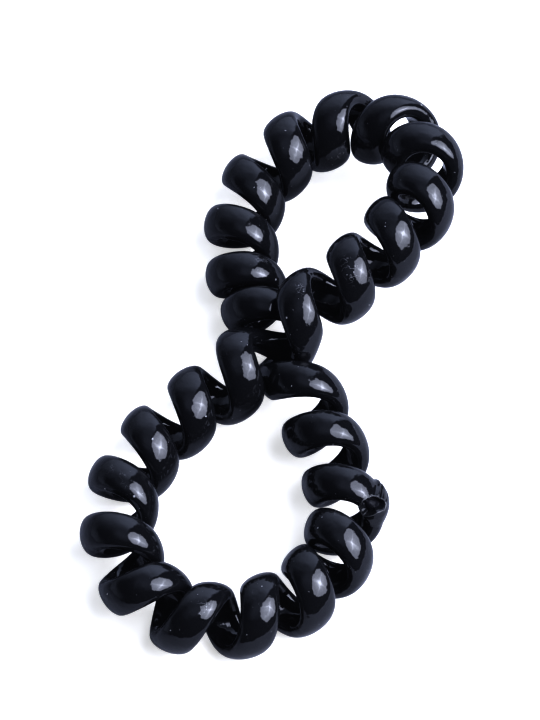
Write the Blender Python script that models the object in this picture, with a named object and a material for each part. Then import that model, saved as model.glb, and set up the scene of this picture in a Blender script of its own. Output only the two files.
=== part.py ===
"""Spiral hair tie: one coiled plastic cord, closed into a ring by a moulded joint.

The ring lies as it was dropped, crossed once into a figure eight, with one strand hooked through
the other where they cross. Metres, +Z up, +Y along the figure eight. The origin is the middle of
the surface that the ring lies on.
"""

import math

import bmesh
import bpy
import numpy as np
from mathutils import Matrix, Vector

COIL_DIAMETER = 0.0100
CORD_WIDTH = 0.0049
CORD_THICKNESS = 0.0026

UPPER_LOOP_LENGTH = 0.0350
UPPER_LOOP_WIDTH = 0.0224
LOWER_LOOP_LENGTH = 0.0396
LOWER_LOOP_WIDTH = 0.0285

JOINT_TURN = 22.78
JOINT_LENGTH = 0.0038
JOINT_WALL = 0.0004
JOINT_BULGE = 0.0003
JOINT_WEB = 0.0008
JOINT_CLEARANCE = 0.0003

SIDES = 12
SECTIONS_PER_TURN = 16

# Where the middle of the coil lies at each turn, from the crossing: across is a share of half the
# loop's width, along a share of its length, and lift a share of the coil's diameter above its rest.
UPPER_TURN_SHARES = (
    # turn, across, along, lift
    (1, -0.39, 0.130, 0.07),
    (2, -0.73, 0.265, 0.01),
    (3, -0.96, 0.450, 0.00),
    (4, -1.00, 0.650, 0.00),
    (5, -0.74, 0.845, 0.11),
    (6, -0.25, 0.980, 0.24),
    (7, 0.40, 0.985, 0.50),
    (8, 0.89, 0.860, 0.75),
    (9, 1.04, 0.655, 0.87),
    (10, 0.87, 0.465, 0.87),
    (11, 0.55, 0.290, 0.73),
    (12, 0.11, 0.115, 0.52),
)
LOWER_TURN_SHARES = (
    # turn, across, along, lift
    (13, -0.30, 0.110, 0.15),
    (14, -0.66, 0.275, 0.03),
    (15, -0.91, 0.450, 0.00),
    (16, -1.00, 0.640, 0.02),
    (17, -0.84, 0.835, 0.17),
    (18, -0.49, 0.965, 0.08),
    (19, 0.02, 1.005, 0.05),
    (20, 0.52, 0.930, 0.01),
    (21, 0.87, 0.795, 0.05),
    (22, 1.01, 0.630, 0.08),
    (23, 0.91, 0.450, 0.06),
    (24, 0.59, 0.270, 0.06),
    (25, 0.26, 0.122, 0.09),
)

# Between the turns at the crossing, the strand on top is held up by the one below and presses it
# down and aside, by these shares of the coil's diameter, and its flat cord is rolled on edge there
# by so many degrees. All of it dies away over this share of a turn.
HOOK_SHARE_OF_TURN = 0.55
HOOK_SHARES = (
    # turn, across, along, lift, roll
    (12.6, 0.03, -0.02, 0.13, -60),
    (25.5, 0.00, 0.12, -0.10, 0),
    (26.5, 0.04, 0.01, 0.00, 0),
)

# The joint's outside from one end to the other: place is a share of half its length, wall a share
# of its wall's thickness, and bulge a share of how far it stands out on the coil's outer side.
JOINT_SECTION_SHARES = (
    # place, wall, bulge
    (-1.00, 0.70, 0.20),
    (-0.65, 0.95, 0.65),
    (-0.25, 1.10, 0.95),
    (0.20, 1.10, 1.00),
    (0.60, 0.95, 0.70),
    (1.00, 0.70, 0.25),
)

CORD_COLOUR = (0.006, 0.007, 0.010, 1.0)
CORD_ROUGHNESS = 0.12
JOINT_ROUGHNESS = 0.20

COIL_RADIUS = (COIL_DIAMETER - CORD_THICKNESS) / 2
REST_HEIGHT = COIL_DIAMETER / 2
STEP_SHARE_OF_TURN = 0.001


def clear_scene():
    for thing in list(bpy.data.objects):
        bpy.data.objects.remove(thing, do_unlink=True)


def turn_centres():
    """The middle of the coil at each whole turn, in turn order round the ring."""
    centres = {}
    for turns, width, length in (
        (UPPER_TURN_SHARES, UPPER_LOOP_WIDTH, UPPER_LOOP_LENGTH),
        (LOWER_TURN_SHARES, LOWER_LOOP_WIDTH, -LOWER_LOOP_LENGTH),
    ):
        for turn, across, along, lift in turns:
            height = REST_HEIGHT + lift * COIL_DIAMETER
            centres[turn] = (across * width / 2, along * length, height)
    return np.array([centres[turn] for turn in sorted(centres)])


class Route:
    """The coil's closed middle line: a smooth cubic through the turn centres, one unit per turn."""

    def __init__(self, centres):
        self.centres = centres
        self.count = len(centres)
        one = np.eye(self.count)
        sums = 4 * one + np.roll(one, 1, 0) + np.roll(one, -1, 0)
        bends = np.roll(centres, 1, 0) - 2 * centres + np.roll(centres, -1, 0)
        self.bends = np.linalg.solve(sums, 6 * bends)

    def hold(self, turn):
        """How far the crossing moves the middle line aside here, and how far it rolls the cord."""
        moved, rolled = np.zeros(3), 0.0
        for middle, across, along, lift, roll in HOOK_SHARES:
            away = abs((turn - middle + self.count / 2) % self.count - self.count / 2)
            if away < HOOK_SHARE_OF_TURN:
                share = (1 + math.cos(math.pi * away / HOOK_SHARE_OF_TURN)) / 2
                moved += share * COIL_DIAMETER * np.array((across, along, lift))
                rolled += share * math.radians(roll)
        return moved, rolled

    def at(self, turn):
        """Point and heading of the middle line at this turn number."""
        first = math.floor(turn)
        t = turn - first
        s = 1 - t
        a, b = (first - 1) % self.count, first % self.count
        point = s * self.centres[a] + t * self.centres[b]
        point += (s**3 - s) / 6 * self.bends[a] + (t**3 - t) / 6 * self.bends[b]
        heading = self.centres[b] - self.centres[a]
        heading += (1 - 3 * s**2) / 6 * self.bends[a] + (3 * t**2 - 1) / 6 * self.bends[b]
        moved, _ = self.hold(turn)
        return Vector(point + moved), Vector(heading).normalized()


def cord_middle(route, turn):
    """Middle of the cord and its way out from the coil's middle, at this turn number."""
    middle, heading = route.at(turn)
    side = heading.cross(Vector((0, 0, 1))).normalized()
    up = side.cross(heading)
    angle = 2 * math.pi * turn
    outward = math.cos(angle) * up - math.sin(angle) * side
    return middle + COIL_RADIUS * outward, outward


def cord_step(route, turn):
    """The short step that the cord's middle makes about this turn number."""
    before, _ = cord_middle(route, turn - STEP_SHARE_OF_TURN)
    after, _ = cord_middle(route, turn + STEP_SHARE_OF_TURN)
    return after - before


def turns_along(route, turn, distance):
    """How much the turn number grows over this distance along the cord."""
    return distance * 2 * STEP_SHARE_OF_TURN / cord_step(route, turn).length


def oval_ring(route, turn, half_thickness, half_width, shift=0.0):
    """Points of one oval section square to the cord, shifted away from the coil's middle."""
    point, outward = cord_middle(route, turn)
    along = cord_step(route, turn).normalized()
    outward = (outward - outward.dot(along) * along).normalized()
    _, roll = route.hold(turn)
    flat_way = math.cos(roll) * outward + math.sin(roll) * along.cross(outward)
    broad_way = along.cross(flat_way)
    ring = []
    for i in range(SIDES):
        angle = 2 * math.pi * i / SIDES
        out = shift + half_thickness * math.cos(angle)
        ring.append(point + out * flat_way + half_width * math.sin(angle) * broad_way)
    return ring


def skin(name, rings, material):
    """One closed body through the rings, with a flat face over the first and the last."""
    mesh = bmesh.new()
    rows = [[mesh.verts.new(point) for point in ring] for ring in rings]
    for row, following in zip(rows, rows[1:]):
        for i in range(SIDES):
            j = (i + 1) % SIDES
            mesh.faces.new((row[i], row[j], following[j], following[i]))
    mesh.faces.new(list(reversed(rows[0])))
    mesh.faces.new(rows[-1])
    bmesh.ops.recalc_face_normals(mesh, faces=mesh.faces)
    data = bpy.data.meshes.new(name)
    mesh.to_mesh(data)
    mesh.free()
    data.shade_smooth()
    data.materials.append(material)
    thing = bpy.data.objects.new(name, data)
    bpy.context.collection.objects.link(thing)
    return thing


def plastic(name, colour, roughness):
    material = bpy.data.materials.new(name)
    material.use_nodes = True
    shader = material.node_tree.nodes["Principled BSDF"]
    shader.inputs["Base Color"].default_value = colour
    shader.inputs["Roughness"].default_value = roughness
    material.diffuse_color = colour
    return material


def make_cord(route):
    """The whole cord, from the web inside the joint round the ring to the web's other side."""
    gap = turns_along(route, JOINT_TURN, JOINT_WEB / 2 + JOINT_CLEARANCE)
    start = JOINT_TURN + gap
    length = route.count - 2 * gap
    count = round(length * SECTIONS_PER_TURN)
    rings = []
    for i in range(count + 1):
        turn = start + length * i / count
        rings.append(oval_ring(route, turn, CORD_THICKNESS / 2, CORD_WIDTH / 2))
    return skin("coiled_cord", rings, plastic("black_plastic", CORD_COLOUR, CORD_ROUGHNESS))


def make_joint(route):
    """A sleeve over both ends of the cord, with a web between them."""
    half = turns_along(route, JOINT_TURN, JOINT_LENGTH / 2)
    web = turns_along(route, JOINT_TURN, JOINT_WEB / 2)

    def socket(place):
        reach = JOINT_CLEARANCE
        return oval_ring(route, JOINT_TURN + place, CORD_THICKNESS / 2 + reach, CORD_WIDTH / 2 + reach)

    rings = [socket(-web), socket(-half)]
    for place, wall, bulge in JOINT_SECTION_SHARES:
        reach = JOINT_CLEARANCE + JOINT_WALL * wall
        out = JOINT_BULGE * bulge / 2
        thick = CORD_THICKNESS / 2 + reach + out
        rings.append(oval_ring(route, JOINT_TURN + half * place, thick, CORD_WIDTH / 2 + reach, out))
    rings += [socket(half), socket(web)]
    return skin("moulded_joint", rings, plastic("joint_plastic", CORD_COLOUR, JOINT_ROUGHNESS))


def stand_on_origin(things):
    """Moves the pieces together, so that they stand on z = 0 over the origin."""
    points = np.array([point.co for thing in things for point in thing.data.vertices])
    low, high = points.min(axis=0), points.max(axis=0)
    foot = Vector(((low[0] + high[0]) / 2, (low[1] + high[1]) / 2, low[2]))
    for thing in things:
        thing.data.transform(Matrix.Translation(-foot))


def main():
    clear_scene()
    route = Route(turn_centres())
    stand_on_origin([make_cord(route), make_joint(route)])


main()
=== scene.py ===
"""Looks of the spiral hair tie: a fine black plastic cord and its moulded joint, lying on a white table.

Metres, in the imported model's frame. The coil's tables and its way round the ring are those of the
construction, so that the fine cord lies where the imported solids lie.
"""

import math

import bpy
import numpy as np
from mathutils import Matrix, Vector


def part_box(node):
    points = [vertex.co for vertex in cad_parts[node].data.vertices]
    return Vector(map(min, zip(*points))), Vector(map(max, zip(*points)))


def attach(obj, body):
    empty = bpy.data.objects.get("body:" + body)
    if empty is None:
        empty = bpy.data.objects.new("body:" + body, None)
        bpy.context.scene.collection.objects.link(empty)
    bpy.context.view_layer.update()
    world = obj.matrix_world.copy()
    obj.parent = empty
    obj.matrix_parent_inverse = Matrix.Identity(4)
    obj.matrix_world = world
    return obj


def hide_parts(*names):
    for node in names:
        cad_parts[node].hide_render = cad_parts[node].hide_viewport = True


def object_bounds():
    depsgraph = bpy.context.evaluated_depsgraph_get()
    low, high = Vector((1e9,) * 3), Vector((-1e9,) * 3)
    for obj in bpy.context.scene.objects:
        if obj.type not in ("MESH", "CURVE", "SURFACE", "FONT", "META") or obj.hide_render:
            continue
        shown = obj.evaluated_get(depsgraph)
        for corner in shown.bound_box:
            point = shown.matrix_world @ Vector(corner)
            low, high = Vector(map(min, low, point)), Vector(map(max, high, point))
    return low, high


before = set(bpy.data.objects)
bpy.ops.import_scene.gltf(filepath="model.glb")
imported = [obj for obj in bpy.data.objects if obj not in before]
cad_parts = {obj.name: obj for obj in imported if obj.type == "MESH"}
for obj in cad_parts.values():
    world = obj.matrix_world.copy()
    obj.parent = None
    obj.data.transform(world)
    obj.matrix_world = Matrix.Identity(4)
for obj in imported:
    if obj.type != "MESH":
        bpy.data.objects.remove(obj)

COIL_DIAMETER = 0.0100
CORD_WIDTH = 0.0049
CORD_THICKNESS = 0.0026

UPPER_LOOP_LENGTH = 0.0350
UPPER_LOOP_WIDTH = 0.0224
LOWER_LOOP_LENGTH = 0.0396
LOWER_LOOP_WIDTH = 0.0285

JOINT_TURN = 22.78
JOINT_LENGTH = 0.0038
JOINT_WALL = 0.0004
JOINT_BULGE = 0.0003
CORD_START_SHARE = 1.60
CORD_END_SHARE = -1.00

INNER_FLATNESS = 3.2

COIL_RADIUS = (COIL_DIAMETER - CORD_THICKNESS) / 2
REST_HEIGHT = COIL_DIAMETER / 2
STEP_SHARE_OF_TURN = 0.001

SECTIONS_PER_TURN = 64
SIDES = 32
JOINT_SECTIONS_ALONG = 200
JOINT_SIDES = 240
JOINT_ROUNDING = 15

# Where the middle of the coil lies at each turn, from the crossing: across is a share of half the
# loop's width, along a share of its length, and lift a share of the coil's diameter above its rest.
UPPER_TURN_SHARES = (
    # turn, across, along, lift
    (1, -0.39, 0.130, 0.07),
    (2, -0.73, 0.265, 0.01),
    (3, -0.96, 0.450, 0.00),
    (4, -1.00, 0.650, 0.00),
    (5, -0.74, 0.845, 0.11),
    (6, -0.25, 0.980, 0.24),
    (7, 0.40, 0.985, 0.50),
    (8, 0.89, 0.860, 0.75),
    (9, 1.04, 0.655, 0.87),
    (10, 0.87, 0.465, 0.87),
    (11, 0.55, 0.290, 0.73),
    (12, 0.11, 0.115, 0.52),
)
LOWER_TURN_SHARES = (
    # turn, across, along, lift
    (13, -0.30, 0.110, 0.15),
    (14, -0.66, 0.275, 0.03),
    (15, -0.91, 0.450, 0.00),
    (16, -1.00, 0.640, 0.02),
    (17, -0.84, 0.835, 0.17),
    (18, -0.49, 0.965, 0.08),
    (19, 0.02, 1.005, 0.05),
    (20, 0.52, 0.930, 0.01),
    (21, 0.87, 0.795, 0.05),
    (22, 1.01, 0.630, 0.08),
    (23, 0.91, 0.450, 0.06),
    (24, 0.59, 0.270, 0.06),
    (25, 0.26, 0.122, 0.09),
)

# Between the turns at the crossing, the strand on top is held up by the one below and presses it
# down and aside, by these shares of the coil's diameter, and its flat cord is rolled on edge there
# by so many degrees. All of it dies away over this share of a turn.
HOOK_SHARE_OF_TURN = 0.55
HOOK_SHARES = (
    # turn, across, along, lift, roll
    (12.6, 0.03, -0.02, 0.13, -60),
    (25.5, 0.00, 0.12, -0.10, 0),
    (26.5, 0.04, 0.01, 0.00, 0),
)

# The joint's outside along the cord: place is a share of half its length, wall a share of its wall's
# thickness, and bulge a share of how far it stands out on the coil's outer side. Past 1.2 it has the
# cord's own shape, up to where the cord's piece starts.
JOINT_SHAPE = (
    # place, wall, bulge
    (-1.05, -0.10, 0.00),
    (-0.85, 0.10, 0.05),
    (-0.45, 0.60, 0.50),
    (-0.10, 1.00, 0.90),
    (0.25, 1.10, 1.00),
    (0.60, 1.00, 0.80),
    (0.90, 0.70, 0.30),
    (1.05, 0.25, 0.05),
    (1.20, 0.00, 0.00),
    (1.60, 0.00, 0.00),
)
# Pleats round the joint's outer face: place and width are shares of half its length, height a share
# of its wall's thickness, below nought for a groove.
PLEATS = (
    # place, width, height
    (0.92, 0.09, 0.30),
    (0.76, 0.05, -1.00),
    (0.40, 0.03, -0.20),
)
# The angles round the cord, in degrees, over which the pleats rise and die away, and how far they
# wander as a share of half the joint's length.
PLEAT_RISE = (-32, -18)
PLEAT_FALL = (120, 160)
PLEAT_WANDER = 0.02

# The hollow between the two moulded ends, on the joint's near side: at each angle round the cord
# from its outer face, in degrees, it lies between the lower and the upper place.
HOLLOW_EDGES = (
    # angle, lower, upper
    (-132, 0.20, 0.10),
    (-120, 0.22, 0.95),
    (-109, 0.25, 1.22),
    (-90, 0.30, 1.40),
    (-71, 0.36, 1.44),
    (-49, 0.25, 1.32),
    (-38, 0.22, 1.18),
    (-30, 0.28, 1.05),
    (-26, 0.36, 0.80),
    (-22, 0.50, 0.40),
)
# Its depth and the breadth of its slope, how far inside its edge its painted shade starts, a dull dark
# finish, and where it is full, and how far its edge wanders, in metres, at how many radians a metre.
HOLLOW_DEPTH = 0.00090
HOLLOW_SLOPE = 0.00030
HOLLOW_SHADE_START = 0.00010
HOLLOW_SHADE_FULL = 0.00040
EDGE_WANDER = 0.00004
EDGE_WANDER_RATE = 5000

# The lip round the hollow, and the torn flash line: its angle round the cord, breadth and wander in
# degrees, and the places over which it rises and dies away. Both are also painted pale in the finish, as a
# painted highlight.
LIP_HEIGHT = 0.00005
LIP_WIDTH = 0.00004
FLASH_ANGLE = -138
FLASH_BREADTH = 3
FLASH_WANDER = 3
FLASH_HEIGHT = 0.00012
FLASH_RISE = (-1.0, -0.8)
FLASH_FALL = (0.15, 0.3)

# Patches of finer dust and small scuffs, on the cord's outer side: turn as above, across and breadth
# as shares of half the cord's width, and reach along the cord as a share of its whole width.
DUSTY_PATCHES = (
    # turn, across, breadth, reach
    (11.04, 0.05, 0.55, 0.42),
    (11.95, -0.60, 0.35, 0.26),
    (1.92, 0.25, 0.40, 0.22),
    (18.99, 0.35, 0.50, 0.22),
    (7.88, 0.75, 0.25, 0.12),
)

# The plastic, its dust, which also colours the painted highlight along the joint's lip, and the painted
# shade inside the joint's hollow: a dull, dark, barely shiny finish.
PLASTIC_COLOUR = (0.0105, 0.0108, 0.0120, 1)
PLASTIC_IOR = 1.5
CORD_ROUGHNESS = 0.045
JOINT_ROUGHNESS = 0.06
LEAST_ROUGHNESS = 0.04
DUST_AND_GLINT_COLOUR = (0.42, 0.42, 0.43, 1)
HOLLOW_SHADE_COLOUR = (0.012, 0.012, 0.015, 1)
HOLLOW_ROUGHNESS = 0.9
HOLLOW_SHINE = 0.1
HOLLOW_SHADE_SHARE = 0.85

# The lumps of the plastic's skin, in metres. The drawn ones are stretched along the cord.
DRAWN_SIZE = 0.00035
BROAD_DRAWN_SIZE = 0.0012
DRAWN_STRETCH = (0.03, 1.0, 1.0)
SKIN_WAVE_SIZE = 0.0018
FINE_WAVE_SIZE = 0.0008
SMEAR_SIZE = 0.0045
GRAIN_SIZE = 0.0002

# The bump's full height in metres, and the shares of it that the lumps and the dust have.
BUMP_HEIGHT = 0.0001
SKIN_WAVE_SHARE = 0.80
FINE_WAVE_SHARE = 0.28
BROAD_DRAWN_SHARE = 0.18
DRAWN_SHARE = 0.05
DUST_SHARE = 0.05

# Dust in three sizes, each the spacing and the radius of its specks in metres, the clumps that the
# patches' dust lies in, and the lint among it. A waver makes the specks' outlines ragged.
COARSE_DUST = (0.0020, 0.00014)
FINE_DUST = (0.0010, 0.00006)
PATCH_DUST = (0.00040, 0.00011)
CLUMP_SIZE = 0.0007
LINT_SIZE = 0.0009
LINT_WIDTH = 0.016
WAVER_SCALE = 3000
WAVER_REACH = 0.0003

# How pale each kind of dust and mark is, from 0 to 1, and what each adds to the roughness. The edge's
# paleness is a painted highlight along the joint's lip and flash line.
FINE_DUST_PALENESS = 0.5
PATCH_DUST_PALENESS = 0.8
LINT_PALENESS = 0.3
EDGE_GLINT_PALENESS = 0.22
SMEAR_DUSTINESS = 0.5
DUST_ROUGHNESS = 0.5
SMEAR_ROUGHNESS = 0.06
GRAIN_ROUGHNESS = 0.04

# The table's colour and glow as the camera sees it, and its colours as the plastic mirrors it, away
# from the lamp and towards it: a sheet seen only in reflections, painted darker than the seen table and
# darker still away from the lamp, as painted shade. The mirrored sheet lies a hair above the one that is
# seen.
TABLE_HALF_WIDTH = 2.0
TABLE_COLOUR = (0.96, 0.93, 0.86, 1)
TABLE_GLOW = 0.36
MIRRORED_FAR_SHADE_COLOUR = (0.24, 0.25, 0.28, 1)
MIRRORED_NEAR_SHADE_COLOUR = (0.59, 0.60, 0.64, 1)
MIRRORED_LIFT = 0.00001
SHADE_AZIMUTH = -30
SHADE_REACH = 0.06

# The photograph's camera, as it stands to the table and to the figure eight: angles in radians,
# sensor and lens in millimetres.
CAMERA_ELEVATION = math.radians(59.9)
CAMERA_TURN = math.radians(17)
CAMERA_ROLL = 0.012
CAMERA_DISTANCE = 0.613
CAMERA_SENSOR = 36
CAMERA_LENS = 234.2
LOOK_AT = Vector((-0.0029, 0.0044, 0.0001))

# Stray light in the lens, which lifts the photograph's blacks.
LENS_VEIL = (0.0068, 0.0070, 0.0085)

# The main lamp, with its direction as studio_way takes it. Its edge, ribs and bulb are shares of half
# its width, where each starts and where it is full. Its lights are the strengths of its shader.
SOFTBOX_AZIMUTH = -9.5
SOFTBOX_ELEVATION = 50
SOFTBOX_DISTANCE = 1.2
SOFTBOX_WIDTH = 1.45
LAMP_TINT = (0.95, 1.00, 1.20)
LAMP_EDGE = (0.98, 0.95)
LAMP_RIB = (0.11, 0.02)
LAMP_BULB = (0.16, 0.0)
LAMP_LIGHT = 2.85
LAMP_MIDDLE_LIGHT = 5.4
LAMP_RIB_LIGHT = 5.5
LAMP_BULB_LIGHT = 2.0
LAMP_FADING = 2.6

# The room's paler parts, in degrees as studio_way takes them, where each starts and where it is full,
# and their lights as the strengths of the room's shader.
ROOM_TINT = (0.90, 1.00, 1.30)
WALL_RIGHT_END = (53, 58)
WALL_LEFT_END = (170, 50)
WALL_TOP = (78, 36)
WALL_FOOT = (0, 25)
WALL_FOOT_SHARE = 0.70
WALL_UPPER_SHARE = 0.35
CEILING = (50, 85)
LEFT_SIDE = (130, 175)
LEFT_TOP = (28, 6)
ROOM_LIGHT = 0.01
WALL_LIGHT = 1.22
CEILING_LIGHT = 0.36
LEFT_LIGHT = 0.42


def unit(rows):
    """The rows of vectors, each made one long."""
    return rows / np.linalg.norm(rows, axis=1, keepdims=True)


def turn_centres():
    """The middle of the coil at each whole turn, in turn order round the ring."""
    centres = {}
    for turns, width, length in (
        (UPPER_TURN_SHARES, UPPER_LOOP_WIDTH, UPPER_LOOP_LENGTH),
        (LOWER_TURN_SHARES, LOWER_LOOP_WIDTH, -LOWER_LOOP_LENGTH),
    ):
        for turn, across, along, lift in turns:
            height = REST_HEIGHT + lift * COIL_DIAMETER
            centres[turn] = (across * width / 2, along * length, height)
    return np.array([centres[turn] for turn in sorted(centres)])


class Route:
    """The coil's closed middle line: a smooth cubic through the turn centres, one unit per turn."""

    def __init__(self, centres):
        self.centres = centres
        self.count = len(centres)
        one = np.eye(self.count)
        sums = 4 * one + np.roll(one, 1, 0) + np.roll(one, -1, 0)
        bends = np.roll(centres, 1, 0) - 2 * centres + np.roll(centres, -1, 0)
        self.bends = np.linalg.solve(sums, 6 * bends)

    def hold(self, turns):
        """How far the crossing moves the middle line aside at these turns, and rolls the cord."""
        moved, rolled = np.zeros((len(turns), 3)), np.zeros((len(turns), 1))
        for middle, across, along, lift, roll in HOOK_SHARES:
            away = np.abs((turns - middle + self.count / 2) % self.count - self.count / 2)
            share = (1 + np.cos(math.pi * np.minimum(away / HOOK_SHARE_OF_TURN, 1)))[:, None] / 2
            moved += share * COIL_DIAMETER * np.array((across, along, lift))
            rolled += share * math.radians(roll)
        return moved, rolled

    def at(self, turns):
        """Points and headings of the middle line at these turn numbers."""
        first = np.floor(turns).astype(int)
        t = (turns - first)[:, None]
        s = 1 - t
        a, b = (first - 1) % self.count, first % self.count
        point = s * self.centres[a] + t * self.centres[b]
        point += (s**3 - s) / 6 * self.bends[a] + (t**3 - t) / 6 * self.bends[b]
        heading = self.centres[b] - self.centres[a]
        heading += (1 - 3 * s**2) / 6 * self.bends[a] + (3 * t**2 - 1) / 6 * self.bends[b]
        moved, _ = self.hold(turns)
        return point + moved, unit(heading)


def cord_middle(route, turns):
    """Middle of the cord and its way out from the coil's middle, at these turn numbers."""
    middle, heading = route.at(turns)
    side = unit(np.cross(heading, (0, 0, 1)))
    up = np.cross(side, heading)
    angle = 2 * math.pi * turns[:, None]
    outward = np.cos(angle) * up - np.sin(angle) * side
    return middle + COIL_RADIUS * outward, outward


def cord_axes(route, turns):
    """Middle of the cord, the way that its flat side faces and its broad way, at these turns."""
    point, outward = cord_middle(route, turns)
    before, _ = cord_middle(route, turns - STEP_SHARE_OF_TURN)
    after, _ = cord_middle(route, turns + STEP_SHARE_OF_TURN)
    along = unit(after - before)
    outward = unit(outward - np.sum(outward * along, axis=1, keepdims=True) * along)
    _, roll = route.hold(turns)
    flat_way = np.cos(roll) * outward + np.sin(roll) * np.cross(along, outward)
    return point, flat_way, np.cross(along, flat_way)


def turns_along(route, turn, distance):
    """How much the turn number grows over this distance along the cord."""
    ends, _ = cord_middle(route, np.array((turn - STEP_SHARE_OF_TURN, turn + STEP_SHARE_OF_TURN)))
    return distance * 2 * STEP_SHARE_OF_TURN / np.linalg.norm(ends[1] - ends[0])


def skin(name, rings, places):
    """One closed mesh through the rings, smooth but for its ends' edges. It keeps the unwound places."""
    count, sides, _ = rings.shape
    faces = []
    for i in range(count - 1):
        for j in range(sides):
            k = (j + 1) % sides
            a, b = i * sides, (i + 1) * sides
            faces.append((a + j, a + k, b + k, b + j))
    faces.append(tuple(reversed(range(sides))))
    faces.append(tuple(range((count - 1) * sides, count * sides)))
    mesh = bpy.data.meshes.new(name)
    mesh.from_pydata(rings.reshape(-1, 3).tolist(), [], faces)
    mesh.shade_smooth()
    edges = {edge.key: edge for edge in mesh.edges}
    for face in list(mesh.polygons)[-2:]:
        for key in face.edge_keys:
            edges[key].use_edge_sharp = True
    unwound = mesh.attributes.new("unwound", "FLOAT_VECTOR", "POINT")
    unwound.data.foreach_set("vector", places.reshape(-1).astype(np.float32))
    piece = bpy.data.objects.new(name, mesh)
    bpy.context.collection.objects.link(piece)
    return piece


def oval_rings(axes, out, wide):
    """Rings of points about the cord's middle. Out and wide are metres, a row for each ring."""
    point, flat_way, broad_way = (rows[:, None] for rows in axes)
    return point + out[:, :, None] * flat_way + wide[:, :, None] * broad_way


def cord_outline(angle):
    """The cord's oval section about its middle, out and wide from -1 to 1, with a flatter inner side."""
    out, wide = np.cos(angle), np.sin(angle)
    inner = out < 0
    out = np.where(inner, -np.abs(out) ** (2 / INNER_FLATNESS), out)
    wide = np.where(inner, np.sign(wide) * np.abs(wide) ** (2 / INNER_FLATNESS), wide)
    return out, wide


def make_cord(route):
    """The cord, from where the joint's piece ends round the ring to just inside the joint's other end.

    Gives its dusty patches too, each a middle in unwound places, a reach along and a breadth across.
    """
    half = turns_along(route, JOINT_TURN, JOINT_LENGTH / 2)
    start = JOINT_TURN + CORD_START_SHARE * half
    end = JOINT_TURN + CORD_END_SHARE * half + route.count
    count = round((end - start) * SECTIONS_PER_TURN)
    turns = np.linspace(start, end, count + 1)
    axes = cord_axes(route, turns)
    angle = 2 * math.pi * np.arange(SIDES) / SIDES
    oval_out, oval_wide = cord_outline(angle)
    out = np.tile(CORD_THICKNESS / 2 * oval_out, (count + 1, 1))
    wide = np.tile(CORD_WIDTH / 2 * oval_wide, (count + 1, 1))
    steps = np.linalg.norm(np.diff(axes[0], axis=0), axis=1)
    run = CORD_START_SHARE * JOINT_LENGTH / 2 + np.concatenate(([0], np.cumsum(steps)))
    places = np.stack((np.tile(run[:, None], (1, SIDES)), out, wide), axis=2)
    patches = []
    for turn, across, breadth, reach in DUSTY_PATCHES:
        along = np.interp((turn - start) % route.count + start, turns, run)
        middle = (along, CORD_THICKNESS / 2, across * CORD_WIDTH / 2)
        patches.append((middle, reach * CORD_WIDTH, breadth * CORD_WIDTH / 2))
    return skin("cord", oval_rings(axes, out, wide), places), patches


def soft(values, low, high):
    """0 below low, 1 above high and smooth between them."""
    share = np.clip((values - low) / (high - low), 0, 1)
    return share * share * (3 - 2 * share)


def hollow_distance(run, angle):
    """How far inside the hollow's edge each point of the joint's skin lies, in metres."""
    edges = np.array(HOLLOW_EDGES)
    lower = np.interp(angle, edges[:, 0], edges[:, 1]) * JOINT_LENGTH / 2
    upper = np.interp(angle, edges[:, 0], edges[:, 2]) * JOINT_LENGTH / 2
    inside = np.minimum(run - lower, upper - run)
    inside += EDGE_WANDER * np.sin(angle / 4) * np.sin(run * EDGE_WANDER_RATE)
    round_metres = (CORD_THICKNESS + CORD_WIDTH) / 4 * np.radians(angle[0])
    slope_along, slope_round = np.gradient(inside, run[:, 0], round_metres)
    return inside / np.hypot(slope_along, slope_round)


def joint_relief(run, angle):
    """Height over the joint's plain shape, in metres, and the shares that its finish needs: a painted
    highlight along the lip and flash line, and painted shade inside the hollow.
    """
    place = run / (JOINT_LENGTH / 2)
    outer = soft(angle, *PLEAT_RISE) * (1 - soft(angle, *PLEAT_FALL))
    height = np.zeros_like(place)
    for middle, width, share in PLEATS:
        wander = middle + PLEAT_WANDER * np.sin(angle / 20 + middle * 9)
        height += JOINT_WALL * share * outer * np.exp(-(((place - wander) / width) ** 2))
    inside = hollow_distance(run, angle)
    lip = np.exp(-(((inside + LIP_WIDTH) / LIP_WIDTH) ** 2))
    torn = soft(np.sin(place * 17) + np.sin(place * 41 + 2) * 0.7, -0.6, 0.4)
    off_line = (angle - FLASH_ANGLE - FLASH_WANDER * np.sin(place * 6)) / FLASH_BREADTH
    fin = np.exp(-(off_line**2)) * torn * soft(place, *FLASH_RISE) * (1 - soft(place, *FLASH_FALL))
    height += LIP_HEIGHT * lip + FLASH_HEIGHT * fin - HOLLOW_DEPTH * soft(inside, 0, HOLLOW_SLOPE)
    # The pale edge is a painted highlight along the lip and the flash line; the hollow's share paints shade
    # inside the hollow.
    return height, {"painted_glint_edge": np.maximum(lip, fin), "hollow": soft(inside, HOLLOW_SHADE_START, HOLLOW_SHADE_FULL)}


def rounded(values):
    """The values along the joint, with their corners rounded off."""
    weights = np.hanning(JOINT_ROUNDING)[1:-1]
    edge = len(weights) // 2
    return np.convolve(np.pad(values, edge, "edge"), weights / weights.sum(), "valid")


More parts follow.
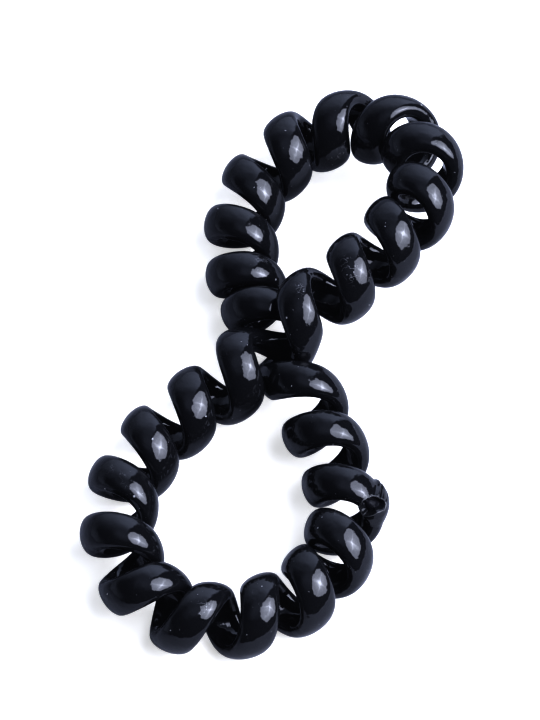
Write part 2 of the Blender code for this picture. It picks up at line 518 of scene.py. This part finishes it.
def make_joint(route):
    """The moulded joint over both ends of the cord."""
    half = turns_along(route, JOINT_TURN, JOINT_LENGTH / 2)
    table = np.array(JOINT_SHAPE)
    along = np.linspace(table[0, 0], table[-1, 0], JOINT_SECTIONS_ALONG + 1)
    axes = cord_axes(route, JOINT_TURN + half * along)
    degrees = np.linspace(-180, 180, JOINT_SIDES, endpoint=False)
    wall = rounded(np.interp(along, table[:, 0], table[:, 1]))
    bulge = rounded(np.interp(along, table[:, 0], table[:, 2]))
    run, angle = np.meshgrid(JOINT_LENGTH / 2 * along, degrees, indexing="ij")
    height, shares = joint_relief(run, angle)
    over = JOINT_WALL * wall[:, None] + height
    swell = JOINT_BULGE * bulge[:, None] / 2
    oval_out, oval_wide = cord_outline(np.radians(degrees))
    out = swell + (CORD_THICKNESS / 2 + over + swell) * oval_out
    wide = (CORD_WIDTH / 2 + over) * oval_wide
    joint = skin("joint", oval_rings(axes, out, wide), np.stack((run, out, wide), axis=2))
    for name, share in shares.items():
        kept = joint.data.attributes.new(name, "FLOAT", "POINT")
        kept.data.foreach_set("value", share.reshape(-1).astype(np.float32))
    return joint


def stand_on_frame(pieces):
    """Moves the pieces together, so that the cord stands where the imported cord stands."""
    low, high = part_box("coiled_cord")
    points = np.array([point.co for point in pieces[0].data.vertices])
    here_low, here_high = points.min(axis=0), points.max(axis=0)
    there = (np.array(low) + np.array(high)) / 2
    here = (here_low + here_high) / 2
    there[2], here[2] = low[2], here_low[2]
    for piece in pieces:
        piece.data.transform(Matrix.Translation(there - here))


def camera_way():
    """The direction from the table to the camera."""
    flat = math.cos(CAMERA_ELEVATION)
    return Vector((
        math.sin(CAMERA_TURN) * flat,
        -math.cos(CAMERA_TURN) * flat,
        math.sin(CAMERA_ELEVATION),
    ))


def make_camera():
    """The photograph's camera."""
    data = bpy.data.cameras.new("camera")
    data.lens = CAMERA_LENS
    data.sensor_width = CAMERA_SENSOR
    camera = bpy.data.objects.new("camera", data)
    way = camera_way()
    camera.matrix_world = (
        Matrix.Translation(LOOK_AT + way * CAMERA_DISTANCE)
        @ (-way).to_track_quat("-Z", "Y").to_matrix().to_4x4()
        @ Matrix.Rotation(-CAMERA_ROLL, 4, "Z")
    )
    bpy.context.collection.objects.link(camera)
    bpy.context.scene.camera = camera


class Wire:
    """One socket of a finish, with the arithmetic that adds its Math nodes."""

    def __init__(self, finish, socket):
        self.finish = finish
        self.socket = socket

    def maths(self, operation, *values):
        return self.finish.node("ShaderNodeMath", {"operation": operation}, dict(enumerate(values)))

    def __add__(self, other):
        return self.maths("ADD", self, other)

    __radd__ = __add__

    def __sub__(self, other):
        return self.maths("SUBTRACT", self, other)

    def __rsub__(self, other):
        return self.maths("SUBTRACT", other, self)

    def __mul__(self, other):
        return self.maths("MULTIPLY", self, other)

    __rmul__ = __mul__

    def __pow__(self, other):
        return self.maths("POWER", self, other)

    def __abs__(self):
        return self.maths("ABSOLUTE", self)

    def at_least(self, other):
        return self.maths("MAXIMUM", self, other)

    def at_most(self, other):
        return self.maths("MINIMUM", self, other)

    def step(self, low, high):
        """0 below low, 1 above high and smooth between them, or the other way round."""
        return self.finish.node(
            "ShaderNodeMapRange",
            {"interpolation_type": "SMOOTHSTEP"},
            {"Value": self, "From Min": low, "From Max": high},
        )


class Finish:
    """The nodes of one material or light."""

    def __init__(self, tree):
        self.tree = tree
        tree.nodes.clear()

    def node(self, kind, settings, sockets, output=0):
        """Adds a node with its settings, then its sockets' values or links. Gives one output."""
        made = self.tree.nodes.new(kind)
        for name, value in settings.items():
            setattr(made, name, value)
        for name, value in sockets.items():
            if isinstance(value, Wire):
                self.tree.links.new(value.socket, made.inputs[name])
            else:
                made.inputs[name].default_value = value
        return Wire(self, made.outputs[output]) if made.outputs else None

    def mix(self, share, first, second):
        """One colour mixed into another by a share."""
        settings = {"data_type": "RGBA"}
        return self.node("ShaderNodeMix", settings, {0: share, 6: first, 7: second}, output=2)

    def vector(self, operation, *values, output=0):
        """A Vector Math node's result."""
        return self.node("ShaderNodeVectorMath", {"operation": operation}, dict(enumerate(values)), output)

    def noise(self, place, size, detail=2.0):
        """Soft noise about a half, whose lumps are about this many metres."""
        sockets = {"Vector": place, "Scale": 1 / size, "Detail": detail}
        return self.node("ShaderNodeTexNoise", {}, sockets)


def new_material(name):
    material = bpy.data.materials.new(name)
    material.use_nodes = True
    return material, Finish(material.node_tree)


def dust(finish, place, spacing, radius):
    """Pale specks of uneven size, one in each cell of a sponge, that the surface cuts here and there."""
    sockets = {"Vector": place, "Scale": 1 / spacing, "Randomness": 1.0}
    distance = finish.node("ShaderNodeTexVoronoi", {}, sockets)
    colour = finish.node("ShaderNodeTexVoronoi", {}, sockets, output=1)
    size_draw = finish.node("ShaderNodeSeparateColor", {}, {0: colour}, output=0)
    paleness_draw = finish.node("ShaderNodeSeparateColor", {}, {0: colour}, output=1)
    reach = radius / spacing * (0.45 + size_draw * 0.75)
    speck = (reach - distance).step(0.0, 0.4 * radius / spacing)
    return speck * (0.30 + 0.70 * paleness_draw)


def lint(finish, place, size, width):
    """Short crooked hairs and scuffs: thin level lines of a noise."""
    bent = finish.noise(place, size, 1.5)
    return abs(bent - 0.5).step(width, width * 0.3)


def inside_patch(finish, unwound, patch):
    """How far inside a patch of dust a point of the cord's skin is, from 0 to 1."""
    middle, reach, breadth = patch
    away = finish.vector("SUBTRACT", unwound, middle)
    scaled = finish.vector("MULTIPLY", away, (1 / reach, 1 / breadth, 1 / breadth))
    return finish.vector("LENGTH", scaled, output=1).step(1.0, 0.4)


def plastic_finish(name, rough, patches, hollow_shade_share=0.0):
    """Glossy black soft plastic: drawn marks along the cord, an uneven skin, smears and fine dust. On the
    joint, a painted highlight along the lip and flash line and painted shade inside the hollow.
    """
    material, finish = new_material(name)
    place = finish.node("ShaderNodeTexCoord", {}, {}, output=3)
    unwound = finish.node("ShaderNodeAttribute", {"attribute_name": "unwound"}, {}, output=1)
    drawn_place = finish.vector("MULTIPLY", unwound, DRAWN_STRETCH)
    drawn = finish.noise(drawn_place, DRAWN_SIZE)
    broad_drawn = finish.noise(drawn_place, BROAD_DRAWN_SIZE, 1.0)
    skin_wave = finish.noise(place, SKIN_WAVE_SIZE, 1.0)
    fine_wave = finish.noise(place, FINE_WAVE_SIZE, 1.0)
    smear = finish.noise(place, SMEAR_SIZE, 3.0)
    grain = finish.noise(place, GRAIN_SIZE)
    waver_sockets = {"Vector": place, "Scale": WAVER_SCALE, "Detail": 1.0}
    waver = finish.node("ShaderNodeTexNoise", {}, waver_sockets, output=1)
    ragged = finish.vector("MULTIPLY_ADD", waver, (WAVER_REACH,) * 3, place)
    specks = dust(finish, ragged, *COARSE_DUST)
    fine_specks = dust(finish, ragged, *FINE_DUST)
    dusty = smear.step(0.66, 0.74) * SMEAR_DUSTINESS
    for patch in patches:
        dusty = dusty.at_least(inside_patch(finish, unwound, patch))
    sprinkled = dust(finish, ragged, *PATCH_DUST) * finish.noise(place, CLUMP_SIZE).step(0.48, 0.60)
    hairs = lint(finish, place, LINT_SIZE, LINT_WIDTH)
    # A painted highlight along the joint's lip and flash line, coloured like the dust.
    painted_glint_edge = finish.node("ShaderNodeAttribute", {"attribute_name": "painted_glint_edge"}, {}, output=2)
    in_patches = dusty * (sprinkled * PATCH_DUST_PALENESS + hairs * LINT_PALENESS)
    loose = specks + fine_specks * FINE_DUST_PALENESS + in_patches
    # Dust, and the painted highlight along the joint's lip and flash line.
    marks = (loose + painted_glint_edge * EDGE_GLINT_PALENESS).at_most(1.0)
    colour = finish.mix(marks, PLASTIC_COLOUR, DUST_AND_GLINT_COLOUR)
    worn = smear.step(0.45, 0.75) * SMEAR_ROUGHNESS + (grain - 0.5) * GRAIN_ROUGHNESS
    roughness = (rough + worn + marks * DUST_ROUGHNESS).at_least(LEAST_ROUGHNESS)
    waves = skin_wave * SKIN_WAVE_SHARE + fine_wave * FINE_WAVE_SHARE
    height = waves + broad_drawn * BROAD_DRAWN_SHARE + drawn * DRAWN_SHARE + marks * DUST_SHARE
    bump = finish.node("ShaderNodeBump", {}, {"Height": height, "Strength": 1.0, "Distance": BUMP_HEIGHT})
    shader = finish.node("ShaderNodeBsdfPrincipled", {}, {
        "Base Color": colour,
        "Roughness": roughness,
        "IOR": PLASTIC_IOR,
        "Normal": bump,
    })
    # Inside the joint's hollow a dull, dark, barely shiny finish is mixed in: painted shade.
    if hollow_shade_share:
        hollow = finish.node("ShaderNodeAttribute", {"attribute_name": "hollow"}, {}, output=2)
        painted_hollow_shade = finish.node("ShaderNodeBsdfPrincipled", {}, {
            "Base Color": HOLLOW_SHADE_COLOUR,
            "Roughness": HOLLOW_ROUGHNESS,
            "Specular IOR Level": HOLLOW_SHINE,
        })
        sockets = {0: hollow * hollow_shade_share, 1: shader, 2: painted_hollow_shade}
        shader = finish.node("ShaderNodeMixShader", {}, sockets)
    finish.node("ShaderNodeOutputMaterial", {}, {"Surface": shader})
    return material


def lay_table(name, height, farther, nearer, glow):
    """One sheet of the table, with its colours away from the lamp and towards it; where they differ, they
    paint shade falling off away from the lamp.
    """
    half = TABLE_HALF_WIDTH
    mesh = bpy.data.meshes.new(name)
    corners = ((-half, -half, height), (half, -half, height), (half, half, height), (-half, half, height))
    mesh.from_pydata(corners, [], ((0, 1, 2, 3),))
    sheet = bpy.data.objects.new(name, mesh)
    bpy.context.collection.objects.link(sheet)
    material, finish = new_material(name)
    place = finish.node("ShaderNodeTexCoord", {}, {}, output=3)
    # Darker away from the lamp: painted shade.
    towards_lamp = finish.vector("DOT_PRODUCT", place, studio_way(SHADE_AZIMUTH, 0), output=1)
    colour = finish.mix(towards_lamp.step(-SHADE_REACH, SHADE_REACH), farther, nearer)
    shader = finish.node("ShaderNodeBsdfPrincipled", {}, {
        "Base Color": colour,
        "Roughness": 1.0,
        "Specular IOR Level": 0.0,
        "Emission Color": (1, 1, 1, 1),
        "Emission Strength": glow,
    })
    finish.node("ShaderNodeOutputMaterial", {}, {"Surface": shader})
    mesh.materials.append(material)
    return sheet


def make_table(low):
    """The table as the camera sees it, overexposed to white, and as the plastic mirrors it: a sheet seen
    only in reflections, whose darker colours are painted shade.
    """
    seen = lay_table("table_seen", low, TABLE_COLOUR, TABLE_COLOUR, TABLE_GLOW)
    seen.visible_glossy = False
    above = low + MIRRORED_LIFT
    mirrored = lay_table("table_mirrored", above, MIRRORED_FAR_SHADE_COLOUR, MIRRORED_NEAR_SHADE_COLOUR, 0.0)
    mirrored.visible_camera = False
    mirrored.visible_diffuse = False
    mirrored.visible_shadow = False


def studio_way(azimuth, elevation):
    """A direction in degrees: azimuth 0 is the photograph's right and 90 is away from the camera."""
    around = math.radians(azimuth) + CAMERA_TURN
    up = math.radians(elevation)
    return Vector((math.cos(around) * math.cos(up), math.sin(around) * math.cos(up), math.sin(up)))


def make_softbox():
    """The main lamp: an eight-sided soft box, with its ribs and its bulb just showing."""
    data = bpy.data.lights.new("softbox", "AREA")
    data.shape = "SQUARE"
    data.size = SOFTBOX_WIDTH
    data.energy = math.pi * SOFTBOX_WIDTH**2
    data.color = LAMP_TINT
    data.use_nodes = True
    finish = Finish(data.node_tree)
    place = finish.node("ShaderNodeNewGeometry", {}, {}, output=5)
    x = finish.node("ShaderNodeSeparateXYZ", {}, {0: place}, output=0) * 2 - 1
    y = finish.node("ShaderNodeSeparateXYZ", {}, {0: place}, output=1) * 2 - 1
    radius = (x * x + y * y) ** 0.5
    slanted = (abs(x) + abs(y)) * math.sqrt(0.5)
    inside = abs(x).at_least(abs(y)).at_least(slanted).step(*LAMP_EDGE)
    ribs = abs(x).at_most(abs(y)).step(*LAMP_RIB)
    bulb = radius.step(*LAMP_BULB)
    fading = radius.maths("EXPONENT", radius * -LAMP_FADING)
    pattern = LAMP_MIDDLE_LIGHT * fading + LAMP_RIB_LIGHT * ribs * fading + LAMP_BULB_LIGHT * bulb
    strength = inside * (LAMP_LIGHT + pattern)
    glow = finish.node("ShaderNodeEmission", {}, {"Strength": strength})
    finish.node("ShaderNodeOutputLight", {}, {"Surface": glow})
    lamp = bpy.data.objects.new("softbox", data)
    way = studio_way(SOFTBOX_AZIMUTH, SOFTBOX_ELEVATION)
    lamp.location = way * SOFTBOX_DISTANCE
    lamp.rotation_euler = way.to_track_quat("Z", "Y").to_euler()
    lamp.visible_camera = False
    bpy.context.collection.objects.link(lamp)


def make_room():
    """The dim grey room: a paler wall behind the table, a little light from above and the left."""
    world = bpy.data.worlds.new("room")
    world.use_nodes = True
    finish = Finish(world.node_tree)
    way = finish.node("ShaderNodeTexCoord", {}, {}, output=0)
    right = finish.vector("DOT_PRODUCT", way, studio_way(0, 0), output=1)
    away = finish.vector("DOT_PRODUCT", way, studio_way(90, 0), output=1)
    up = finish.vector("DOT_PRODUCT", way, (0, 0, 1), output=1)
    azimuth = away.maths("ARCTAN2", away, right) * math.degrees(1)
    elevation = up.maths("ARCSINE", up) * math.degrees(1)
    wall = azimuth.step(*WALL_RIGHT_END) * azimuth.step(*WALL_LEFT_END) * elevation.step(*WALL_TOP)
    wall = wall * (WALL_FOOT_SHARE + WALL_UPPER_SHARE * elevation.step(*WALL_FOOT))
    above = elevation.step(*CEILING)
    left = abs(azimuth).step(*LEFT_SIDE) * elevation.step(*LEFT_TOP)
    light = ROOM_LIGHT + WALL_LIGHT * wall + CEILING_LIGHT * above + LEFT_LIGHT * left
    glow = finish.node("ShaderNodeBackground", {}, {"Color": (*ROOM_TINT, 1), "Strength": light})
    finish.node("ShaderNodeOutputWorld", {}, {"Surface": glow})
    bpy.context.scene.world = world


cad_low, cad_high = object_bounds()

route = Route(turn_centres())
cord, dusty_patches = make_cord(route)
joint = make_joint(route)
stand_on_frame([cord, joint])
cord.data.materials.append(plastic_finish("cord_plastic", CORD_ROUGHNESS, dusty_patches))
joint.data.materials.append(plastic_finish("joint_plastic", JOINT_ROUGHNESS, [], HOLLOW_SHADE_SHARE))
for piece, node, slot in ((cord, "coiled_cord", "cord_plastic"), (joint, "moulded_joint", "joint_plastic")):
    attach(piece, "root")
    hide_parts(node)

make_camera()
make_table(cad_low.z)
make_softbox()
make_room()
view = bpy.context.scene.view_settings
view.view_transform = "Standard"
view.look = "Very High Contrast"
view.use_curve_mapping = True
view.curve_mapping.black_level = [-share for share in LENS_VEIL]
view.curve_mapping.update()
